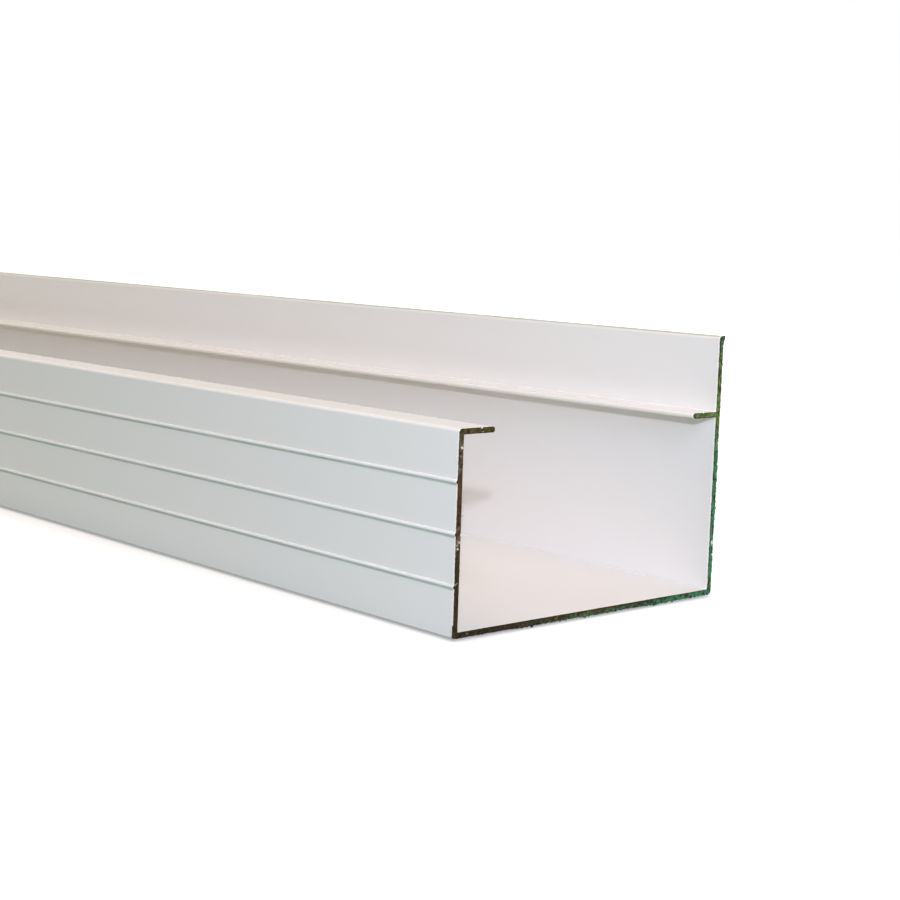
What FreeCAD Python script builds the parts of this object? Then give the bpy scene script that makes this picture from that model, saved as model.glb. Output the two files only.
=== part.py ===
"""Extruded aluminium box gutter: one length of stock, sawn square at both ends.

The section is a thin-walled trough of one piece. It has a flat base, a low front wall with a
flange turned in at its top, and a higher back wall that carries a ledge level with the front
flange and runs on above it as an upstand. Three shallow beads run along the front face, and the
upstand ends in a small nib turned out to the back.

Frame: X along the length, Y from the front face (-) to the back face (+), Z up. The origin is at
the underside of the base, midway along it and midway between the front and back faces.
Millimetres.
"""

import math
import os

import FreeCAD
import Part

# Driving dimensions of the extrusion
LENGTH = 2000.0  # stock length
BASE_WIDTH = 150.0  # over the front and back faces
FRONT_HEIGHT = 80.0  # underside to the top of the front flange
BACK_HEIGHT = 112.0  # underside to the top of the upstand
WALL = 2.2  # thickness of every wall, flange and ledge

FLANGE_WIDTH = 18.0  # front face to the flange's tip
LEDGE_WIDTH = 17.0  # back face to the ledge's tip
LEDGE_TOP = 79.5  # underside to the ledge's upper face

# Beads along the front face
BEAD_COUNT = 3
BEAD_PITCH = 20.0  # underside to the first bead, and bead to bead
BEAD_WIDTH = 1.6
BEAD_PROUD = 0.6  # how far a bead stands out of the face

# Nib at the top of the upstand
NIB_PROUD = 1.2  # how far the nib leans out behind the back face
NIB_HEIGHT = 4.0  # from where it leaves the back face to the top

# Edge radii
FLANGE_BEND_RADIUS = 1.4  # front face into the top of the flange
BOTTOM_FRONT_RADIUS = 0.6
BOTTOM_BACK_RADIUS = 1.4
INNER_RADIUS = 0.3  # every inside corner
UPSTAND_FRONT_RADIUS = 1.8
NIB_RADIUS = 0.4
NIB_ROOT_RADIUS = 1.5
TIP_RADIUS = WALL / 2  # flange and ledge end in a full round

# Places that follow from the driving dimensions
FRONT_FACE = -BASE_WIDTH / 2
BACK_FACE = BASE_WIDTH / 2
FRONT_INNER = FRONT_FACE + WALL
BACK_INNER = BACK_FACE - WALL
FLANGE_TIP = FRONT_FACE + FLANGE_WIDTH
LEDGE_TIP = BACK_FACE - LEDGE_WIDTH
TOLERANCE = 1e-6


def in_section(y, z):
    """A point of the cross section, in the plane of the left-hand end."""
    return FreeCAD.Vector(-LENGTH / 2, y, z)


def section_corners():
    """The outline's corners as (point, edge radius), anticlockwise seen from +X, from the front
    bottom edge round to the bend over the front wall."""
    return [
        (in_section(FRONT_FACE, 0), BOTTOM_FRONT_RADIUS),
        (in_section(BACK_FACE, 0), BOTTOM_BACK_RADIUS),
        (in_section(BACK_FACE, BACK_HEIGHT - NIB_HEIGHT), NIB_ROOT_RADIUS),
        (in_section(BACK_FACE + NIB_PROUD, BACK_HEIGHT), NIB_RADIUS),
        (in_section(BACK_INNER, BACK_HEIGHT), UPSTAND_FRONT_RADIUS),
        (in_section(BACK_INNER, LEDGE_TOP), INNER_RADIUS),
        (in_section(LEDGE_TIP, LEDGE_TOP), TIP_RADIUS),
        (in_section(LEDGE_TIP, LEDGE_TOP - WALL), TIP_RADIUS),
        (in_section(BACK_INNER, LEDGE_TOP - WALL), INNER_RADIUS),
        (in_section(BACK_INNER, WALL), INNER_RADIUS),
        (in_section(FRONT_INNER, WALL), INNER_RADIUS),
        (in_section(FRONT_INNER, FRONT_HEIGHT - WALL), INNER_RADIUS),
        (in_section(FLANGE_TIP, FRONT_HEIGHT - WALL), TIP_RADIUS),
        (in_section(FLANGE_TIP, FRONT_HEIGHT), TIP_RADIUS),
        (in_section(FRONT_FACE, FRONT_HEIGHT), FLANGE_BEND_RADIUS),
    ]


def corner_arc(before, corner, after, radius):
    """The arc that rounds one corner, as its start, a point half-way round, and its end."""
    towards_before = (before - corner).normalize()
    towards_after = (after - corner).normalize()
    half_angle = towards_before.getAngle(towards_after) / 2
    setback = radius / math.tan(half_angle)
    bisector = (towards_before + towards_after).normalize()
    nearest = corner + bisector * (radius / math.sin(half_angle) - radius)
    return corner + towards_before * setback, nearest, corner + towards_after * setback


def straight(start, end):
    """A straight edge, or nothing where two arcs already meet."""
    if start.distanceToPoint(end) < TOLERANCE:
        return []
    return [Part.LineSegment(start, end).toShape()]


def front_face_edges(top, bottom):
    """The front face from its top down to its bottom, with the beads bulging out of it."""
    edges = []
    reached = top
    for number in range(BEAD_COUNT, 0, -1):
        middle = number * BEAD_PITCH
        upper = in_section(FRONT_FACE, middle + BEAD_WIDTH / 2)
        crest = in_section(FRONT_FACE - BEAD_PROUD, middle)
        lower = in_section(FRONT_FACE, middle - BEAD_WIDTH / 2)
        edges += straight(reached, upper)
        edges.append(Part.Arc(upper, crest, lower).toShape())
        reached = lower
    return edges + straight(reached, bottom)


def section_face():
    """The closed cross section as a flat face."""
    corners = section_corners()
    arcs = []
    for index, (point, radius) in enumerate(corners):
        before = corners[index - 1][0]
        after = corners[(index + 1) % len(corners)][0]
        arcs.append(corner_arc(before, point, after, radius))
    edges = []
    for index, (start, nearest, end) in enumerate(arcs):
        edges.append(Part.Arc(start, nearest, end).toShape())
        if index + 1 < len(arcs):
            edges += straight(end, arcs[index + 1][0])
    edges += front_face_edges(arcs[-1][2], arcs[0][0])
    return Part.Face(Part.Wire(edges))


def gutter_profile():
    """The whole length: the cross section extruded along X."""
    return section_face().extrude(FreeCAD.Vector(LENGTH, 0, 0))


def main():
    profile = gutter_profile()
    os.makedirs("parts", exist_ok=True)
    profile.exportStep("parts/gutter_profile.step")
    box = profile.BoundBox
    print(f"valid {profile.isValid()}, solids {len(profile.Solids)}, faces {len(profile.Faces)}")
    print(f"volume {profile.Volume:.0f} mm3, section {profile.Volume / LENGTH:.1f} mm2")
    print(f"x {box.XMin:.2f}..{box.XMax:.2f}, y {box.YMin:.2f}..{box.YMax:.2f}, "
          f"z {box.ZMin:.2f}..{box.ZMax:.2f}")


main()
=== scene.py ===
"""Finishes a length of white powder-coated aluminium box gutter and sets it on a studio floor.

The extruded profile is the CAD node itself. This file gives it its coat and its dark sawn ends,
adds the ragged saw burr, the scraped nicks and the folded flaps of coat at both ends and the
whiskers of metal at the right-hand one, and builds the stage: floor, lamps, surroundings and
camera. Everything is in metres, in the frame of the CAD model: X along the gutter, Y from its
beaded front to its back, Z up.
"""

import math
import random

import bmesh
import bpy
from bpy.props import FloatProperty, FloatVectorProperty, IntProperty, PointerProperty
from bpy.types import Operator, Panel, PropertyGroup
from mathutils import Matrix, Vector, noise


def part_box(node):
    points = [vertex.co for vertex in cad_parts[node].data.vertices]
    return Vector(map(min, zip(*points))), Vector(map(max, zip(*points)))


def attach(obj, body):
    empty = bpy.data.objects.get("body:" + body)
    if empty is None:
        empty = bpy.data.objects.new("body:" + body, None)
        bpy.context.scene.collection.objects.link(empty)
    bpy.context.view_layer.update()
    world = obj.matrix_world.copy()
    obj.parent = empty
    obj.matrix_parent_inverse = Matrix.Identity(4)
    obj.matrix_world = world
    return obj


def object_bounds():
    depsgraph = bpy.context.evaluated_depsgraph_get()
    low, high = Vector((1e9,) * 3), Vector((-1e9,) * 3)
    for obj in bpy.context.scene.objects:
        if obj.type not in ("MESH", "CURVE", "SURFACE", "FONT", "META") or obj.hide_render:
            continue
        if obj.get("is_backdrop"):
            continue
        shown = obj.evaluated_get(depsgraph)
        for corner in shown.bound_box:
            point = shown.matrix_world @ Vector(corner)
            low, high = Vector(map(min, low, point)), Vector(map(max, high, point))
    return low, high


bl_info = {
    "name": "Box Gutter Section",
    "version": (1, 0, 0),
    "blender": (4, 5, 0),
    "location": "3D View > Sidebar > Gutter",
    "description": "Coats a box gutter profile, roughens its sawn ends and stages it",
    "category": "Object",
}

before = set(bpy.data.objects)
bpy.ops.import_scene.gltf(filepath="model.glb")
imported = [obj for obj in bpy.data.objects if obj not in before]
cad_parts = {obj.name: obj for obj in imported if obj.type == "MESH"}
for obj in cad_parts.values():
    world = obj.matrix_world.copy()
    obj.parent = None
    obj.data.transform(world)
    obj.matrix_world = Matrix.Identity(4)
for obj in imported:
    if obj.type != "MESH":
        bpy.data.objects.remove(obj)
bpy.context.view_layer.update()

MM = 0.001
PROFILE_NODE = "gutter_profile"

PROFILE_LOW, PROFILE_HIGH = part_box(PROFILE_NODE)
ENDS = {"right": PROFILE_HIGH.x, "left": PROFILE_LOW.x}  # where the two sawn ends are
FRONT_FACE = -75 * MM  # the flat of the front wall, between its beads
BACK_FACE = 75 * MM
WALL = 2.2 * MM
LIP_LEVEL = 78.5 * MM  # middle of the flange and of the ledge
BEAD_PITCH = 20 * MM
BEAD_TOP = 61 * MM  # above the highest bead
BEAD_SHADOW = 1.05 * MM  # how far below a bead's middle its painted shadow line lies


# ---------------------------------------------------------------- settings


class CoatSettings(PropertyGroup):
    """The white coat on every extruded face."""

    colour: FloatVectorProperty(
        name="Coat colour", description="White of the powder coat",
        subtype="COLOR", size=3, min=0, max=1, default=(0.86, 0.86, 0.855))
    roughness: FloatProperty(
        name="Coat roughness", description="Lower is glossier",
        subtype="FACTOR", min=0, max=1, default=0.16)
    peel_size: FloatProperty(
        name="Orange peel size", description="Spacing of the coat's fine dimples",
        unit="LENGTH", min=0.0002, max=0.01, default=1.3 * MM)
    peel_depth: FloatProperty(
        name="Orange peel depth", description="Height of the coat's fine dimples",
        unit="LENGTH", min=0, max=0.0001, precision=6, default=0.002 * MM)
    # Colour of the painted shade under the beads, along the upstand's crest and in the inner back
    # corner
    shading_colour: FloatVectorProperty(
        name="Grime colour", description="Dirt under the beads and along the upstand's crest",
        subtype="COLOR", size=3, min=0, max=1, default=(0.34, 0.45, 0.36))
    # How strongly the painted shadow line under each bead shows
    bead_shading: FloatProperty(
        name="Bead grime", description="How strongly dirt shows under each bead",
        subtype="FACTOR", min=0, max=1, default=0.75)
    # How strongly the painted shade line along the top of the upstand shows
    crest_shading: FloatProperty(
        name="Crest grime", description="How strongly dirt shows along the top of the upstand",
        subtype="FACTOR", min=0, max=1, default=0.8)
    # Width of the painted highlight, a paler band of coat beside each saw cut
    rim_width: FloatProperty(
        name="Bright rim", description="Width of the chipped, brighter coat beside each saw cut",
        unit="LENGTH", min=0, max=0.005, precision=5, default=0.9 * MM)


class SawnSettings(PropertyGroup):
    """The bare metal of the two sawn ends, and its burr."""

    # These colours are painted reflection: the dark, greenish surroundings that the bare sawn metal
    # mirrors
    dark_reflection: FloatVectorProperty(
        name="Dark stain", description="Nearly black tarnish, at the front of the base",
        subtype="COLOR", size=3, min=0, max=1, default=(0.026, 0.021, 0.011))
    brown_reflection: FloatVectorProperty(
        name="Brown stain", description="Brown tarnish, on the front wall and flange",
        subtype="COLOR", size=3, min=0, max=1, default=(0.052, 0.027, 0.011))
    grey_reflection: FloatVectorProperty(
        name="Grey stain", description="Greyish patches on the front wall",
        subtype="COLOR", size=3, min=0, max=1, default=(0.110, 0.085, 0.068))
    olive_reflection: FloatVectorProperty(
        name="Olive stain", description="Yellowish green tarnish, on the ledge and upstand",
        subtype="COLOR", size=3, min=0, max=1, default=(0.078, 0.135, 0.040))
    green_reflection: FloatVectorProperty(
        name="Green stain", description="Green tarnish, at the back",
        subtype="COLOR", size=3, min=0, max=1, default=(0.032, 0.132, 0.064))
    scraped_colour: FloatVectorProperty(
        name="Scraped colour", description="Freshly scraped metal in the nicks",
        subtype="COLOR", size=3, min=0, max=1, default=(0.74, 0.66, 0.55))
    burr_height: FloatProperty(
        name="Burr height", description="How far the burr's teeth hang over the underside",
        unit="LENGTH", min=0, max=0.002, precision=5, default=1.1 * MM)
    burr_depth: FloatProperty(
        name="Burr depth", description="How far the burr reaches back along the gutter",
        unit="LENGTH", min=0, max=0.005, precision=5, default=0.8 * MM)
    burr_pitch: FloatProperty(
        name="Burr pitch", description="Spacing of the points that shape the burr",
        unit="LENGTH", min=0.0001, max=0.005, precision=5, default=0.16 * MM)
    ridge_width: FloatProperty(
        name="Ridge width", description="Width of the raised rim round the sawn face",
        unit="LENGTH", min=0, max=0.001, precision=5, default=0.48 * MM)
    ridge_height: FloatProperty(
        name="Ridge height", description="How far the rim stands out of the sawn face",
        unit="LENGTH", min=0, max=0.0005, precision=5, default=0.05 * MM)
    seed: IntProperty(
        name="Seed", description="Changes every ragged shape", min=0, default=11)


class StageSettings(PropertyGroup):
    """Floor, lamps and camera."""

    floor_colour: FloatVectorProperty(
        name="Floor bounce", description="Tint of the light that the floor throws back up",
        subtype="COLOR", size=3, min=0, max=1, default=(0.12, 0.22, 0.17))
    surround_colour: FloatVectorProperty(
        name="Surround colour", description="Even light that comes from all round",
        subtype="COLOR", size=3, min=0, max=1, default=(0.35, 0.36, 0.30))
    key_power: FloatProperty(
        name="Key power", description="Small hard lamp above the camera",
        unit="POWER", min=0, default=2.45)
    key_colour: FloatVectorProperty(
        name="Key colour", description="Colour of the small hard lamp",
        subtype="COLOR", size=3, min=0, max=1, default=(0.84, 0.86, 1.0))
    side_power: FloatProperty(
        name="Side power", description="Large soft lamp beyond the right-hand end",
        unit="POWER", min=0, default=16.4)
    side_colour: FloatVectorProperty(
        name="Side colour", description="Colour of the large soft lamp at the side",
        subtype="COLOR", size=3, min=0, max=1, default=(0.80, 0.78, 1.0))
    top_power: FloatProperty(
        name="Overhead power", description="Large soft lamp above the gutter",
        unit="POWER", min=0, default=9.6)
    top_colour: FloatVectorProperty(
        name="Overhead colour", description="Colour of the large soft lamp above",
        subtype="COLOR", size=3, min=0, max=1, default=(1.0, 0.63, 0.39))
    back_power: FloatProperty(
        name="Back power", description="Large soft lamp low behind the gutter",
        unit="POWER", min=0, default=65.0)
    back_colour: FloatVectorProperty(
        name="Back colour", description="Colour of the lamp behind",
        subtype="COLOR", size=3, min=0, max=1, default=(1.0, 0.98, 1.0))
    lens: FloatProperty(
        name="Focal length", description="On a 36 mm wide sensor, in millimetres",
        min=1, default=70.26)


# ---------------------------------------------------------------- node helpers


def add_node(tree, kind, settings=None, inputs=None):
    """A node of this kind, with its settings made and its inputs given a value or a link."""
    node = tree.nodes.new(kind)
    for name, value in (settings or {}).items():
        setattr(node, name, value)
    for name, value in (inputs or {}).items():
        if isinstance(value, bpy.types.NodeSocket):
            tree.links.new(value, node.inputs[name])
        else:
            node.inputs[name].default_value = value
    return node


def opaque(colour):
    """A colour setting as the four numbers that a socket takes."""
    return (*colour, 1.0)


def darkened(colour, share):
    """A share of a colour setting, as the four numbers that a socket takes."""
    return opaque([channel * share for channel in colour])


def calculate(tree, operation, first, second=0.0, clamp=False):
    """The value of one arithmetic step."""
    settings = {"operation": operation, "use_clamp": clamp}
    return add_node(tree, "ShaderNodeMath", settings, {0: first, 1: second}).outputs[0]


def spread(tree, value, low, high, new_low=0.0, new_high=1.0):
    """value, with low to high moved smoothly onto new_low to new_high."""
    inputs = {
        "Value": value, "From Min": low, "From Max": high, "To Min": new_low, "To Max": new_high}
    settings = {"interpolation_type": "SMOOTHSTEP"}
    return add_node(tree, "ShaderNodeMapRange", settings, inputs).outputs["Result"]


def object_place(tree):
    """Where a point lies, in the object's own coordinates."""
    return add_node(tree, "ShaderNodeTexCoord").outputs["Object"]


def axes_of(tree, vector):
    """The X, Y and Z of a vector, by name."""
    return add_node(tree, "ShaderNodeSeparateXYZ", {}, {0: vector}).outputs


def mix_colours(tree, factor, first, second):
    """first where factor is 0, second where it is 1."""
    colour_inputs = {0: factor, 6: first, 7: second}
    return add_node(tree, "ShaderNodeMix", {"data_type": "RGBA"}, colour_inputs).outputs[2]


def mix_values(tree, factor, first, second):
    """first where factor is 0, second where it is 1."""
    return add_node(tree, "ShaderNodeMix", {}, {0: factor, 2: first, 3: second}).outputs[0]


def noise_of(tree, place, size, detail=2.0, roughness=0.5):
    """Noise whose features are about size metres apart."""
    inputs = {"Vector": place, "Scale": 1 / size, "Detail": detail, "Roughness": roughness}
    return add_node(tree, "ShaderNodeTexNoise", {}, inputs).outputs["Fac"]


def stretched(tree, place, scale):
    """Coordinates scaled along each axis, to draw a texture out into streaks."""
    inputs = {"Vector": place, "Scale": scale}
    return add_node(tree, "ShaderNodeMapping", {"vector_type": "POINT"}, inputs).outputs[0]


def new_group(name, inputs, outputs):
    """An empty shader node group: (group, its input sockets by name, its output node)."""
    group = bpy.data.node_groups.new(name, "ShaderNodeTree")
    for direction, sockets in (("INPUT", inputs), ("OUTPUT", outputs)):
        for socket_name, kind in sockets.items():
            group.interface.new_socket(
                name=socket_name, in_out=direction, socket_type="NodeSocket" + kind)
    start = group.nodes.new("NodeGroupInput")
    return group, start.outputs, group.nodes.new("NodeGroupOutput")


def place_group(tree, group, inputs):
    """The outputs of a group placed in a material with these inputs."""
    return add_node(tree, "ShaderNodeGroup", {"node_tree": group}, inputs).outputs


def new_material(name):
    """An empty material with its Principled BSDF wired to the output."""
    material = bpy.data.materials.new(name)
    material.use_nodes = True
    tree = material.node_tree
    tree.nodes.clear()
    shader = add_node(tree, "ShaderNodeBsdfPrincipled")
    add_node(tree, "ShaderNodeOutputMaterial", {}, {"Surface": shader.outputs[0]})
    return material, tree, shader


def bump(tree, shader, height):
    """Feeds a height in metres to the shader's normal."""
    inputs = {"Strength": 1.0, "Distance": 1.0, "Height": height}
    node = add_node(tree, "ShaderNodeBump", {}, inputs)
    tree.links.new(node.outputs[0], shader.inputs["Normal"])


def seen_or_mirrored(tree):
    """1 for what the camera sees directly, mirrored or through glass, 0 for every other ray."""
    path = add_node(tree, "ShaderNodeLightPath").outputs
    seen = calculate(tree, "MAXIMUM", path["Is Camera Ray"], path["Is Glossy Ray"])
    return calculate(tree, "MAXIMUM", seen, path["Is Transmission Ray"])


# ---------------------------------------------------------------- shared effects


# Grain of the sawn face's colours, which are painted reflection
PATCH_SIZE = 7 * MM
PATCH_DRIFT = 34 * MM  # how far the patches shift the borders between colours
MOTTLE_SIZE = 1.3 * MM
SPOT_SIZE = 2.2 * MM
SAW_MARK_SIZE = 0.6 * MM
SAW_MARK_DEPTH = 0.06 * MM
SAW_MARK_STRETCH = (1, 0.25, 4)  # draws the saw's marks out across the gutter
UNDERSIDE_EDGE = 0.3 * MM  # below this the base is green
BROWN_CREST = (92 * MM, 104 * MM)  # where the upstand's inner side turns brown

# How the painted reflection's colours run along each wall of the section: (millimetres, colour)
BASE_TONES = [(-75, "Dark"), (-40, "Dark"), (0, "Brown"), (30, "Dark"), (60, "Green")]
FRONT_TONES = [
    (0, "Dark"), (24, "Dark"), (35, "Grey"), (44, "Brown"), (58, "Brown"), (72, "Grey"),
    (80, "Brown")]
BACK_TONES = [(0, "Green"), (55, "Green"), (80, "Olive"), (98, "Olive"), (110, "Green")]


def coloured_along(tree, place, given, stops):
    """Colour that passes from one colour to the next along a coordinate."""
    colour = given[stops[0][1]]
    for (low, _), (high, following) in zip(stops, stops[1:]):
        share = spread(tree, place, low * MM, high * MM)
        colour = mix_colours(tree, share, colour, given[following])
    return colour


def sawn_metal_group():
    """Sawn aluminium whose dark colours are painted reflection of dark, greenish surroundings:
    brown at the front, green at the back, mottled, with saw marks.
    """
    group, given, result = new_group(
        "sawn_metal",
        {"Dark": "Color", "Brown": "Color", "Grey": "Color", "Olive": "Color", "Green": "Color",
         "Browning": "Float"},
        {"Colour": "Color", "Roughness": "Float", "Height": "Float"},
    )
    place = object_place(group)
    axes = axes_of(group, place)
    patches = noise_of(group, place, PATCH_SIZE, detail=3, roughness=0.6)
    drift = calculate(group, "MULTIPLY", calculate(group, "SUBTRACT", patches, 0.5), PATCH_DRIFT)
    along_y = calculate(group, "ADD", axes["Y"], drift)
    along_z = calculate(group, "ADD", axes["Z"], drift)
    colour = coloured_along(group, along_y, given, BASE_TONES)

    fine = noise_of(group, place, MOTTLE_SIZE, detail=5, roughness=0.65)
    underside = spread(group, axes["Z"], WALL, UNDERSIDE_EDGE)
    towards_back = spread(group, along_y, -45 * MM, -5 * MM)
    mottled = spread(group, fine, 0.35, 0.65, 0.1, 0.8)
    green_share = calculate(group, "MULTIPLY", underside, towards_back)
    green_share = calculate(group, "MULTIPLY", green_share, mottled)
    colour = mix_colours(group, green_share, colour, given["Green"])

    front = spread(group, axes["Y"], FRONT_FACE + 1.3 * WALL, FRONT_FACE + WALL)
    front_colour = coloured_along(group, along_z, given, FRONT_TONES)
    colour = mix_colours(group, front, colour, front_colour)
    lips = spread(group, axes["Z"], LIP_LEVEL - 1.4 * WALL, LIP_LEVEL - 0.7 * WALL)
    lip_share = spread(group, axes["Y"], 0.0, BACK_FACE / 2, 0.18, 1.0)
    lip_colour = mix_colours(group, lip_share, given["Brown"], given["Olive"])
    colour = mix_colours(group, lips, colour, lip_colour)

    back = spread(group, axes["Y"], BACK_FACE - 1.3 * WALL, BACK_FACE - WALL)
    back_colour = coloured_along(group, along_z, given, BACK_TONES)
    inner = spread(group, axes["Y"], BACK_FACE - 0.45 * WALL, BACK_FACE - 0.7 * WALL)
    browned = calculate(group, "MULTIPLY", inner, spread(group, along_z, *BROWN_CREST))
    back_colour = mix_colours(group, browned, back_colour, given["Brown"])
    colour = mix_colours(group, back, colour, back_colour)

    spots = noise_of(group, place, SPOT_SIZE, detail=3)
    colour = mix_colours(group, spread(group, spots, 0.52, 0.64, 0.0, 0.85), colour, given["Dark"])
    rim_colour = mix_colours(group, spread(group, patches, 0.4, 0.6), given["Dark"], given["Brown"])
    colour = mix_colours(group, given["Browning"], colour, rim_colour)
    shade = spread(group, fine, 0.3, 0.7, 0.35, 2.2)
    shaded = add_node(
        group, "ShaderNodeMix", {"data_type": "RGBA", "blend_type": "MULTIPLY"},
        {0: 1.0, 6: colour, 7: shade}).outputs[2]
    marks = noise_of(group, stretched(group, place, SAW_MARK_STRETCH), SAW_MARK_SIZE, detail=3)
    group.links.new(shaded, result.inputs["Colour"])
    group.links.new(spread(group, fine, 0.3, 0.7, 0.45, 0.7), result.inputs["Roughness"])
    group.links.new(calculate(group, "MULTIPLY", marks, SAW_MARK_DEPTH), result.inputs["Height"])
    return group


def place_sawn_metal(tree, group, sawn, browning=0.0):
    """The sawn metal's outputs, with its painted reflection colours as they are set."""
    return place_group(tree, group, {
        "Dark": opaque(sawn.dark_reflection), "Brown": opaque(sawn.brown_reflection),
        "Grey": opaque(sawn.grey_reflection), "Olive": opaque(sawn.olive_reflection),
        "Green": opaque(sawn.green_reflection), "Browning": browning})


# ---------------------------------------------------------------- materials


SAWN_FACING = 0.7  # a face whose normal looks along X by more than this is sawn
BEAD_SHADING_REACH = (0.7 * MM, 0.2 * MM)  # from its middle, where a bead's painted shadow line ends and where it is full
CREST_REACH = (0.75 * MM, 0.35 * MM)  # the same below the top of the upstand
STREAK_SIZE = 4 * MM
STREAK_STRETCH = (0.1, 1, 1)  # draws the painted shade out into streaks along the gutter
CORNER_SHADING = 0.14  # how strongly painted shade darkens the inner back corner
DULLED_ROUGHNESS = 0.5
# The painted highlight beside each saw cut: the size of its border's breaks, and its paler coat
HIGHLIGHT_BREAK_SIZE = 0.7 * MM
EDGE_HIGHLIGHT_COAT = (0.97, 0.97, 0.96, 1.0)
FOLDED_COAT = (0.95, 0.95, 0.94, 1.0)
FOLDED_SHADE = 0.85
FOLDED_ROUGHNESS = 0.4
SCRAPED_SHADE = 0.55
WRINKLE_SIZE = 0.5 * MM
GRAIN_SIZE = 0.4 * MM
GRAIN_DEPTH = 0.03 * MM
FLOOR_PALE = (0.6, 0.6, 0.6, 1.0)
SHADOW_REACH = 0.04  # how near something has to stand to dim the floor, in metres
FLOOR_GLOW = (0.35, 0.82)  # beside the object and in the open


def coat_material(coat, sawn, sawn_group):
    """White powder coat on the extruded faces, sawn metal on the two faces that look along X."""
    material, tree, shader = new_material("white_powder_coat")
    place = object_place(tree)
    axes = axes_of(tree, place)
    normal = add_node(tree, "ShaderNodeNewGeometry").outputs["Normal"]
    facing = calculate(tree, "ABSOLUTE", axes_of(tree, normal)["X"])
    is_sawn = calculate(tree, "GREATER_THAN", facing, SAWN_FACING)

    # Painted shade: a dark line under each bead and along the crest of the upstand, and a darker
    # inner back corner
    # A painted shadow line just under each bead of the front face
    below_beads = calculate(
        tree, "PINGPONG", calculate(tree, "ADD", axes["Z"], BEAD_SHADOW), BEAD_PITCH / 2)
    near_bead = spread(tree, below_beads, *BEAD_SHADING_REACH)
    on_front = calculate(tree, "LESS_THAN", axes["Y"], FRONT_FACE + 0.1 * MM)
    beaded = calculate(tree, "LESS_THAN", axes["Z"], BEAD_TOP)
    on_beads = calculate(tree, "MULTIPLY", on_front, beaded)
    near_bead = calculate(tree, "MULTIPLY", near_bead, on_beads)
    # A painted shade line along the top of the upstand
    crest = spread(tree, axes["Z"], *(PROFILE_HIGH.z - reach for reach in CREST_REACH))
    streaks = noise_of(tree, stretched(tree, place, STREAK_STRETCH), STREAK_SIZE, detail=3)
    streaks = spread(tree, streaks, 0.25, 0.6, 0.6, 1.0)
    # Painted shade that darkens the bright inner corner between the base and the back wall
    corner = calculate(
        tree, "MULTIPLY", spread(tree, axes["Y"], BACK_FACE - WALL - MM, BACK_FACE - WALL),
        spread(tree, axes["Z"], WALL + MM, WALL))
    shading = calculate(tree, "ADD", calculate(tree, "MULTIPLY", near_bead, coat.bead_shading),
                      calculate(tree, "MULTIPLY", crest, coat.crest_shading))
    shading = calculate(tree, "ADD", shading, calculate(tree, "MULTIPLY", corner, CORNER_SHADING))
    shading = calculate(tree, "MULTIPLY", shading, streaks, clamp=True)
    # The painted shade darkens the coat's colour
    coated = mix_colours(tree, shading, opaque(coat.colour), opaque(coat.shading_colour))

    # Painted highlight: a paler band of coat beside each saw cut, with a ragged border
    chips = noise_of(tree, place, HIGHLIGHT_BREAK_SIZE, detail=2)
    reach = calculate(tree, "MULTIPLY", chips, coat.rim_width * 2)
    from_end = calculate(tree, "SUBTRACT", PROFILE_HIGH.x, calculate(tree, "ABSOLUTE", axes["X"]))
    highlighted = calculate(tree, "LESS_THAN", from_end, reach)
    coated = mix_colours(tree, highlighted, coated, EDGE_HIGHLIGHT_COAT)

    peel = noise_of(tree, place, coat.peel_size, detail=1)
    coat_height = calculate(tree, "MULTIPLY", peel, coat.peel_depth)
    # The coat is also rougher where the painted shade lies
    dulled = calculate(tree, "MAXIMUM", shading, corner)
    gloss = mix_values(tree, dulled, coat.roughness, DULLED_ROUGHNESS)

    metal = place_sawn_metal(tree, sawn_group, sawn)
    colour = mix_colours(tree, is_sawn, coated, metal["Colour"])
    roughness = mix_values(tree, is_sawn, gloss, metal["Roughness"])
    tree.links.new(colour, shader.inputs["Base Color"])
    tree.links.new(roughness, shader.inputs["Roughness"])
    tree.links.new(is_sawn, shader.inputs["Metallic"])
    bump(tree, shader, mix_values(tree, is_sawn, coat_height, metal["Height"]))
    return material


def burr_material(name, sawn, sawn_group, browning):
    """The same sawn metal on the burr and the rim, which stand out past the coat."""
    material, tree, shader = new_material(name)
    metal = place_sawn_metal(tree, sawn_group, sawn, browning)
    tree.links.new(metal["Colour"], shader.inputs["Base Color"])
    tree.links.new(metal["Roughness"], shader.inputs["Roughness"])
    shader.inputs["Metallic"].default_value = 1.0
    bump(tree, shader, metal["Height"])
    return material


def flake_material(coat):
    """Flaps of coat that the saw folded over the cut."""
    material, tree, shader = new_material("folded_coat")
    wrinkles = noise_of(tree, object_place(tree), WRINKLE_SIZE, detail=2)
    shaded = darkened(coat.colour, FOLDED_SHADE)
    tree.links.new(
        mix_colours(tree, spread(tree, wrinkles, 0.3, 0.6), shaded, FOLDED_COAT),
        shader.inputs["Base Color"])
    shader.inputs["Roughness"].default_value = FOLDED_ROUGHNESS
    bump(tree, shader, calculate(tree, "MULTIPLY", wrinkles, GRAIN_DEPTH))
    return material


def scraped_material(sawn):
    """Freshly scraped, still bright metal in the nicks."""
    material, tree, shader = new_material("scraped_aluminium")
    grain = noise_of(tree, object_place(tree), GRAIN_SIZE, detail=3)
    dull = darkened(sawn.scraped_colour, SCRAPED_SHADE)
    tree.links.new(
        mix_colours(tree, spread(tree, grain, 0.35, 0.65), dull, opaque(sawn.scraped_colour)),
        shader.inputs["Base Color"])
    tree.links.new(spread(tree, grain, 0.3, 0.7, 0.35, 0.6), shader.inputs["Roughness"])
    shader.inputs["Metallic"].default_value = 1.0
    bump(tree, shader, calculate(tree, "MULTIPLY", grain, GRAIN_DEPTH))
    return material


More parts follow.
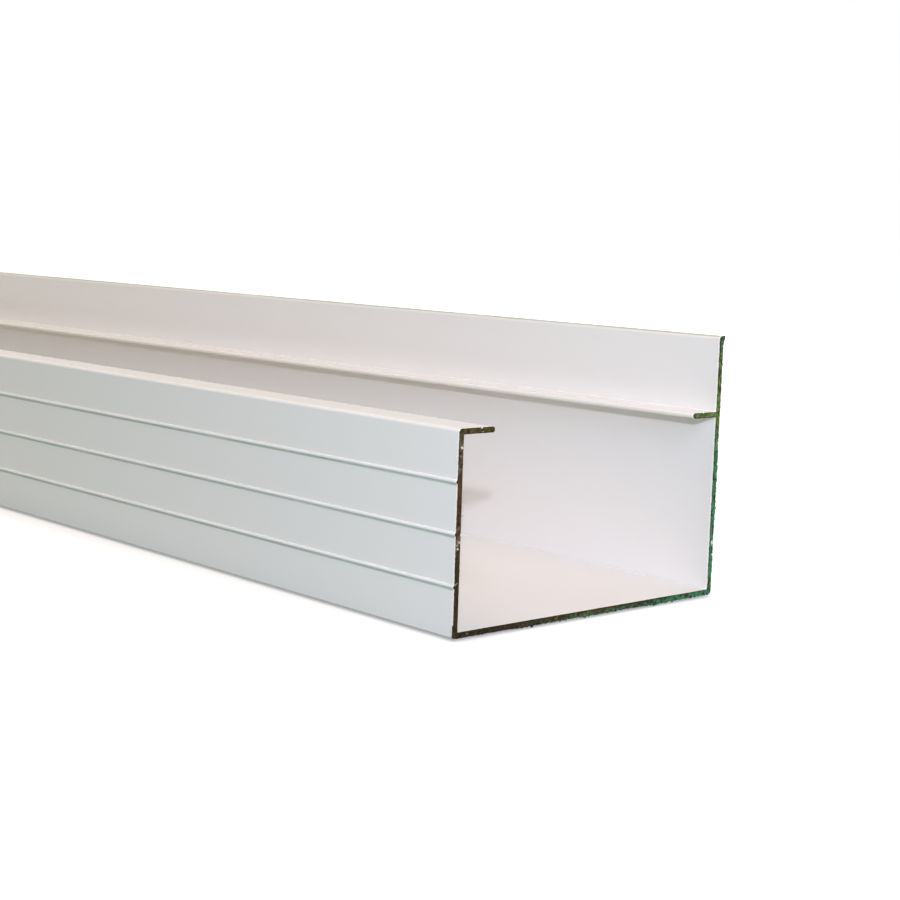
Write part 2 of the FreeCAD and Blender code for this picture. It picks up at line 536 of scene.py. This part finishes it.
def floor_material(stage):
    """Floor that shows white, with the soft shadow, and throws only a little light back up."""
    material = bpy.data.materials.new("studio_floor")
    material.use_nodes = True
    tree = material.node_tree
    tree.nodes.clear()
    bounce = add_node(tree, "ShaderNodeBsdfDiffuse", {}, {"Color": opaque(stage.floor_colour)})
    pale = add_node(tree, "ShaderNodeBsdfDiffuse", {}, {"Color": FLOOR_PALE})
    openness = add_node(
        tree, "ShaderNodeAmbientOcclusion", {"samples": 4},
        {"Distance": SHADOW_REACH}).outputs["AO"]
    # The glow dims where the AO node finds something near: a painted contact shadow, on top of the
    # real one that the pale diffuse catches
    glow = add_node(tree, "ShaderNodeEmission", {}, {
        "Strength": spread(tree, openness, 0.5, 1.0, *FLOOR_GLOW)})
    white = add_node(tree, "ShaderNodeAddShader", {}, {0: pale.outputs[0], 1: glow.outputs[0]})
    shown = add_node(
        tree, "ShaderNodeMixShader", {},
        {0: seen_or_mirrored(tree), 1: bounce.outputs[0], 2: white.outputs[0]})
    add_node(tree, "ShaderNodeOutputMaterial", {}, {"Surface": shown.outputs[0]})
    return material


# ---------------------------------------------------------------- sawn ends


def end_outline(end_x):
    """The profile's outline at one end, as (y, z) points in order round it."""
    mesh = bmesh.new()
    mesh.from_mesh(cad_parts[PROFILE_NODE].data)
    bmesh.ops.remove_doubles(mesh, verts=mesh.verts, dist=0.001 * MM)
    at_end = [v for v in mesh.verts if abs(v.co.x - end_x) < 0.01 * MM]
    chosen = set(at_end)
    rim = {}
    for edge in mesh.edges:
        if set(edge.verts) <= chosen:
            inside = [f for f in edge.link_faces if set(f.verts) <= chosen]
            if len(inside) == 1:
                for vert in edge.verts:
                    rim.setdefault(vert, []).append(edge.other_vert(vert))
    start = min(rim, key=lambda v: (v.co.z, v.co.y))
    loop, previous, here = [start], None, start
    while True:
        following = [v for v in rim[here] if v is not previous]
        previous, here = here, following[0]
        if here is start:
            break
        loop.append(here)
    points = [Vector((v.co.y, v.co.z)) for v in loop]
    mesh.free()
    area = sum(a.x * b.y - b.x * a.y for a, b in zip(points, points[1:] + points[:1]))
    return points if area > 0 else points[::-1]


def walk_outline(points, pitch):
    """(point, outward normal, distance walked) every pitch along a closed anticlockwise outline."""
    steps, walked, carried = [], 0.0, 0.0
    for first, second in zip(points, points[1:] + points[:1]):
        along = second - first
        length = along.length
        if length < 1e-9:
            continue
        along /= length
        outward = Vector((along.y, -along.x))
        reached = carried
        while reached < length:
            steps.append((first + along * reached, outward, walked + reached))
            reached += pitch
        carried = reached - length
        walked += length
    return steps


# The burr's ragged edge: long waves with finer teeth and spikes on them
WAVE_LENGTH = 1.5 * MM
END_SHIFT = 7.3  # sets the two ends apart, so that their burrs differ
TEETH_RATE = 2.7  # times as fine as the waves
SPIKE_RATE = 5.1
DRIFT_RATE = 0.12
OFF_PLUMB = 0.9  # an outward direction at least this much along an axis counts as facing it
SPARSE_BEFORE = -45 * MM  # the underside's burr is thinner in front of here
ROOT_INSET = 0.03  # how deep in the wall the burr's root lies, in millimetres
BURR_SIDES = 4


def overhang(point, outward, walked, sawn, end_x):
    """How far the burr hangs over the edge at this place, in metres."""
    place = Vector((walked / WAVE_LENGTH, end_x * END_SHIFT, sawn.seed))
    waves = max(0.0, noise.noise(place))
    teeth = max(0.0, noise.noise(place * TEETH_RATE))
    spikes = max(0.0, noise.noise(place * SPIKE_RATE))
    drift = 0.65 + 0.7 * noise.noise(place * DRIFT_RATE)
    share = (0.12 + 0.9 * waves + 0.8 * teeth + 0.7 * spikes) * drift
    if outward.y < -OFF_PLUMB and point.y < 0.1 * MM:
        fullness = 1.0 if point.x > SPARSE_BEFORE else 0.45
        return sawn.burr_height * share * fullness
    if outward.x > OFF_PLUMB and point.x > BACK_FACE - 0.1 * MM:
        return sawn.burr_height * share * (0.9 if point.y < 70 * MM else 0.5)
    if outward.x < -OFF_PLUMB and point.y < 5 * MM and point.x < FRONT_FACE + 0.1 * MM:
        return sawn.burr_height * (0.45 + 0.4 * teeth)
    return sawn.burr_height * 0.16 * share


def hangs_outside(point, outward):
    """Whether this stretch of the outline is the underside or the back, where the burr is green."""
    under = outward.y < -0.5 and point.y < 1.5 * MM and point.x > -30 * MM
    return under or (outward.x > 0.5 and point.x > BACK_FACE - 1.5 * MM)


def add_burr(name, end_x, outwards, sawn, materials):
    """A ragged lip all round one sawn end: a low ridge on the sawn face and teeth over its edge."""
    mesh = bmesh.new()
    rows, indexes = [], []
    for point, outward, walked in walk_outline(end_outline(end_x), sawn.burr_pitch):
        reach = overhang(point, outward, walked, sawn, end_x)
        place = Vector((walked / (0.9 * MM), sawn.seed, end_x))
        wander = noise.noise(place)
        width = sawn.ridge_width * (0.75 + 0.7 * wander)
        height = sawn.ridge_height * (0.8 + 0.9 * noise.noise(place * 1.7))
        foot, crest = point - outward * width, point - outward * width * 0.4
        tip = point + outward * reach
        root = point - outward * ROOT_INSET * MM
        depth = sawn.burr_depth * (0.4 + reach / sawn.burr_height)
        rows.append([
            mesh.verts.new((end_x - outwards * 0.02 * MM, foot.x, foot.y)),
            mesh.verts.new((end_x + outwards * height, crest.x, crest.y)),
            mesh.verts.new((end_x + outwards * height * 0.3, tip.x, tip.y)),
            mesh.verts.new((end_x - outwards * depth, root.x, root.y)),
        ])
        indexes.append(0 if hangs_outside(point, outward) else 1)
    for row, following, index in zip(rows, rows[1:] + rows[:1], indexes):
        for side in range(BURR_SIDES):
            after = (side + 1) % BURR_SIDES
            face = mesh.faces.new((row[side], row[after], following[after], following[side]))
            face.material_index = index
    bmesh.ops.recalc_face_normals(mesh, faces=mesh.faces)
    keep_mesh(name, mesh, materials)


# Bright scrapes in the right-hand end: (y, z, length, width) in millimetres and turn in degrees
SCRAPES = [
    (-73.3, 72.8, 1.9, 1.1, -12),
    (-63.1, 78.3, 0.8, 0.3, 20),
    (-73.2, 36.9, 1.4, 0.6, 40),
    (-74.5, 35.8, 0.7, 0.7, 0),
    (-74.0, 34.4, 1.0, 0.9, 0),
    (-74.6, 20.9, 2.8, 0.26, 30),
    (-67.8, 1.1, 0.4, 0.3, 60),
    (-47.9, 1.2, 0.4, 0.25, 20),
    (-38.2, 1.0, 0.35, 0.25, 110),
]
# Flaps of white coat folded over the same cut
FLAPS = [
    (74.35, 22.7, 2.3, 1.5, 88),
    (74.7, 17.4, 1.1, 0.6, 85),
    (74.8, 66.0, 1.1, 0.8, 80),
    (75.0, 105.4, 0.6, 0.4, 90),
    (75.0, 101.2, 0.7, 0.4, 90),
    (75.0, 85.3, 0.6, 0.4, 90),
    (-63.6, 79.8, 0.8, 0.8, 90),
    (64.3, 79.4, 0.9, 0.5, 0),
    (-72.7, 39.7, 1.2, 0.6, 90),
]
# Whiskers of metal left at the front wall's inner edge: (y, z, length) in millimetres
WHISKERS = [(-72.8, 46.7, 1.6), (-72.8, 39.0, 1.1)]
CHIP_RIM = 12  # points round a scrape or a flap
CHIP_RINGS = ((1.0, -0.02), (0.75, 0.07), (0.35, 0.1))  # (share of the size, height in millimetres)
WHISKER_SIDES = 6
WHISKER_JOINTS = 8
WHISKER_RADIUS = 0.16 * MM  # at the root


def join_rings(mesh, rings):
    """Skins the rings of points, each to the next one."""
    for ring, following in zip(rings, rings[1:]):
        for number in range(len(ring)):
            after = (number + 1) % len(ring)
            mesh.faces.new((ring[number], ring[after], following[after], following[number]))


def add_chips(name, end_x, outwards, sawn, chips, material, mirrored):
    """Small raised chips on the sawn face, each a low blister with a broken outline."""
    dice = random.Random(sawn.seed)
    mesh = bmesh.new()
    for y, z, length, width, turn in chips:
        if mirrored:
            z += dice.uniform(-3, 3) if 5 < z < 70 else 0
            turn += dice.uniform(-30, 30)
        middle = Vector((y, z)) * MM
        angle = math.radians(turn)
        along = Vector((math.cos(angle), math.sin(angle)))
        across = Vector((-along.y, along.x))
        rings = []
        for share, height in CHIP_RINGS:
            ring = []
            for number in range(CHIP_RIM):
                bearing = math.tau * number / CHIP_RIM
                reach = share * dice.uniform(0.75, 1.15) / 2
                flat = (middle + along * (length * MM * reach * math.cos(bearing))
                        + across * (width * MM * reach * math.sin(bearing)))
                level = end_x + outwards * height * MM
                ring.append(mesh.verts.new((level, flat.x, flat.y)))
            rings.append(ring)
        join_rings(mesh, rings)
        mesh.faces.new(rings[0])
        mesh.faces.new(rings[-1])
    bmesh.ops.recalc_face_normals(mesh, faces=mesh.faces)
    keep_mesh(name, mesh, [material])


def add_whiskers(name, end_x, inwards, material):
    """Fine curved slivers that hang on at the inner edge of the front wall."""
    mesh = bmesh.new()
    for y, z, length in WHISKERS:
        rings = []
        for joint in range(WHISKER_JOINTS):
            share = joint / (WHISKER_JOINTS - 1)
            centre = Vector((end_x + inwards * (0.1 + 0.3 * share ** 2) * MM,
                             (y - 0.2 + length * share) * MM,
                             (z + 0.25 * math.sin(2.2 * share)) * MM))
            radius = WHISKER_RADIUS * (1 - 0.7 * share)
            ring = []
            for side in range(WHISKER_SIDES):
                bearing = math.tau * side / WHISKER_SIDES
                offset = Vector((math.cos(bearing), 0, math.sin(bearing))) * radius
                ring.append(mesh.verts.new(centre + offset))
            rings.append(ring)
        join_rings(mesh, rings)
        mesh.faces.new(rings[0])
        mesh.faces.new(rings[-1][::-1])
    bmesh.ops.recalc_face_normals(mesh, faces=mesh.faces)
    keep_mesh(name, mesh, [material])


def keep_mesh(name, mesh, materials):
    """Turns a bmesh into a piece of the object, which rides on the gutter."""
    data = bpy.data.meshes.new(name)
    mesh.to_mesh(data)
    mesh.free()
    for material in materials:
        data.materials.append(material)
    piece = bpy.data.objects.new(name, data)
    bpy.context.scene.collection.objects.link(piece)
    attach(piece, "root")


# ---------------------------------------------------------------- stage


# The lamps: places and targets in metres, with the side of each square
NEAR_END = Vector((PROFILE_HIGH.x, FRONT_FACE, 0))  # foot of the front wall at the right-hand cut
KEY_PLACE = NEAR_END + Vector((0.470, -0.424, 0.262))
KEY_TARGET = NEAR_END + Vector((-0.3, 0.075, 0.05))
KEY_SIZE = 0.016
SIDE_PLACE = (2.4, -0.8, 0.9)
SIDE_TARGET = (0.8, 0, 0.05)
SIDE_SIZE = 1.0
TOP_PLACE = (0.35, -0.2, 1.5)
TOP_TARGET = (0.35, -0.05, 0)
TOP_SIZE = 1.2
BACK_PLACE = (-0.2, 3.0, 0.5)
BACK_TARGET = (0, 0, 0.05)
BACK_SIZE = 2.0

CAMERA_PLACE = NEAR_END + Vector((0.4807, -0.4360, 0.1551))
CAMERA_TURN = math.radians(48.09)
CAMERA_TILT = math.radians(7.30)  # below the horizontal
CAMERA_ROLL = math.radians(1.90)
SENSOR_WIDTH = 36.0  # millimetres
NEAREST, FARTHEST = 0.01, 100.0  # what the camera shows, in metres

FLOOR_CORNERS = ((-15, -15), (15, -15), (15, 15), (-15, 15))


def add_floor(stage):
    """A wide floor at the lowest point of the object."""
    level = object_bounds()[0].z
    data = bpy.data.meshes.new("studio_floor")
    data.from_pydata([(x, y, level) for x, y in FLOOR_CORNERS], [], [(0, 1, 2, 3)])
    data.materials.append(floor_material(stage))
    floor = bpy.data.objects.new("studio_floor", data)
    bpy.context.scene.collection.objects.link(floor)
    floor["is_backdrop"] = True


def add_area_lamp(name, place, target, size, power, colour):
    """A square lamp that faces its target."""
    lamp = bpy.data.lights.new(name, "AREA")
    lamp.size = size
    lamp.energy = power
    lamp.color = colour
    holder = bpy.data.objects.new(name, lamp)
    holder.location = place
    holder.rotation_euler = (Vector(target) - Vector(place)).to_track_quat("-Z", "Y").to_euler()
    bpy.context.scene.collection.objects.link(holder)


def set_surroundings(stage):
    """Even light from all round, which looks white behind the object."""
    world = bpy.data.worlds.new("studio_surroundings")
    bpy.context.scene.world = world
    world.use_nodes = True
    tree = world.node_tree
    tree.nodes.clear()
    light = add_node(tree, "ShaderNodeBackground", {}, {
        "Color": opaque(stage.surround_colour), "Strength": 1.0})
    white = add_node(tree, "ShaderNodeBackground", {}, {"Color": (1, 1, 1, 1), "Strength": 1.0})
    shown = add_node(
        tree, "ShaderNodeMixShader", {},
        {0: seen_or_mirrored(tree), 1: light.outputs[0], 2: white.outputs[0]})
    add_node(tree, "ShaderNodeOutputWorld", {}, {"Surface": shown.outputs[0]})


def add_camera(stage):
    """A camera in front of the gutter, which looks along it from beyond its right-hand end."""
    data = bpy.data.cameras.new("camera")
    data.sensor_width = SENSOR_WIDTH
    data.lens = stage.lens
    data.clip_start = NEAREST
    data.clip_end = FARTHEST
    camera = bpy.data.objects.new("camera", data)
    camera.matrix_world = (
        Matrix.Translation(CAMERA_PLACE)
        @ Matrix.Rotation(CAMERA_TURN, 4, "Z")
        @ Matrix.Rotation(math.pi / 2 - CAMERA_TILT, 4, "X")
        @ Matrix.Rotation(CAMERA_ROLL, 4, "Z"))
    bpy.context.scene.collection.objects.link(camera)
    bpy.context.scene.camera = camera


# ---------------------------------------------------------------- operators


class GUTTER_OT_coat_profile(Operator):
    """Give the extruded profile its powder coat and its sawn end faces"""

    bl_idname = "gutter.coat_profile"
    bl_label = "Coat Profile"

    def execute(self, context):
        scene = context.scene
        group = sawn_metal_group()
        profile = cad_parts[PROFILE_NODE]
        material = coat_material(scene.gutter_coat, scene.gutter_sawn, group)
        for slot in profile.material_slots:
            slot.material = material
        return {"FINISHED"}


class GUTTER_OT_roughen_ends(Operator):
    """Add the saw burr, the scrapes, the flaps of coat and the whiskers to the sawn ends"""

    bl_idname = "gutter.roughen_ends"
    bl_label = "Roughen Sawn Ends"

    def execute(self, context):
        scene = context.scene
        sawn = scene.gutter_sawn
        group = bpy.data.node_groups["sawn_metal"]
        burr = burr_material("sawn_burr", sawn, group, 0.0)
        rim = burr_material("sawn_rim", sawn, group, 0.95)
        scraped = scraped_material(sawn)
        folded = flake_material(scene.gutter_coat)
        for side, end_x in ENDS.items():
            outwards = math.copysign(1, end_x)
            mirrored = side == "left"
            add_burr(f"saw_burr_{side}", end_x, outwards, sawn, [burr, rim])
            add_chips(f"end_scrapes_{side}", end_x, outwards, sawn, SCRAPES, scraped,
                      mirrored)
            add_chips(f"coat_flaps_{side}", end_x, outwards, sawn, FLAPS, folded,
                      mirrored)
        add_whiskers("burr_whiskers", ENDS["right"], -1, rim)
        return {"FINISHED"}


class GUTTER_OT_set_stage(Operator):
    """Add the floor, the lamps, the surroundings and the camera"""

    bl_idname = "gutter.set_stage"
    bl_label = "Set Stage"

    def execute(self, context):
        stage = context.scene.gutter_stage
        add_floor(stage)
        add_area_lamp(
            "key_lamp", KEY_PLACE, KEY_TARGET, KEY_SIZE, stage.key_power, stage.key_colour)
        add_area_lamp(
            "side_lamp", SIDE_PLACE, SIDE_TARGET, SIDE_SIZE, stage.side_power, stage.side_colour)
        add_area_lamp(
            "overhead_lamp", TOP_PLACE, TOP_TARGET, TOP_SIZE, stage.top_power, stage.top_colour)
        add_area_lamp(
            "back_lamp", BACK_PLACE, BACK_TARGET, BACK_SIZE, stage.back_power, stage.back_colour)
        set_surroundings(stage)
        add_camera(stage)
        context.scene.view_settings.view_transform = "Standard"
        return {"FINISHED"}


class GUTTER_PT_section(Panel):
    """Lists the steps and their settings"""

    bl_label = "Box Gutter Section"
    bl_idname = "GUTTER_PT_section"
    bl_space_type = "VIEW_3D"
    bl_region_type = "UI"
    bl_category = "Gutter"

    def draw(self, context):
        scene = context.scene
        steps = (
            (GUTTER_OT_coat_profile, scene.gutter_coat),
            (GUTTER_OT_roughen_ends, scene.gutter_sawn),
            (GUTTER_OT_set_stage, scene.gutter_stage),
        )
        for operator, settings in steps:
            box = self.layout.box()
            box.operator(operator.bl_idname)
            for name in settings.bl_rna.properties.keys():
                if name not in {"rna_type", "name"}:
                    box.prop(settings, name)


SETTINGS = {
    "gutter_coat": CoatSettings,
    "gutter_sawn": SawnSettings,
    "gutter_stage": StageSettings,
}
CLASSES = (
    *SETTINGS.values(),
    GUTTER_OT_coat_profile,
    GUTTER_OT_roughen_ends,
    GUTTER_OT_set_stage,
    GUTTER_PT_section,
)


def register():
    """Registers every class and hangs the settings on the scene."""
    for one in CLASSES:
        bpy.utils.register_class(one)
    for name, settings in SETTINGS.items():
        setattr(bpy.types.Scene, name, PointerProperty(type=settings))


def unregister():
    """Takes everything back off."""
    for name in SETTINGS:
        delattr(bpy.types.Scene, name)
    for one in reversed(CLASSES):
        bpy.utils.unregister_class(one)


def main():
    """Runs every step in order."""
    register()
    bpy.ops.gutter.coat_profile()
    bpy.ops.gutter.roughen_ends()
    bpy.ops.gutter.set_stage()


if __name__ == "__main__":
    main()
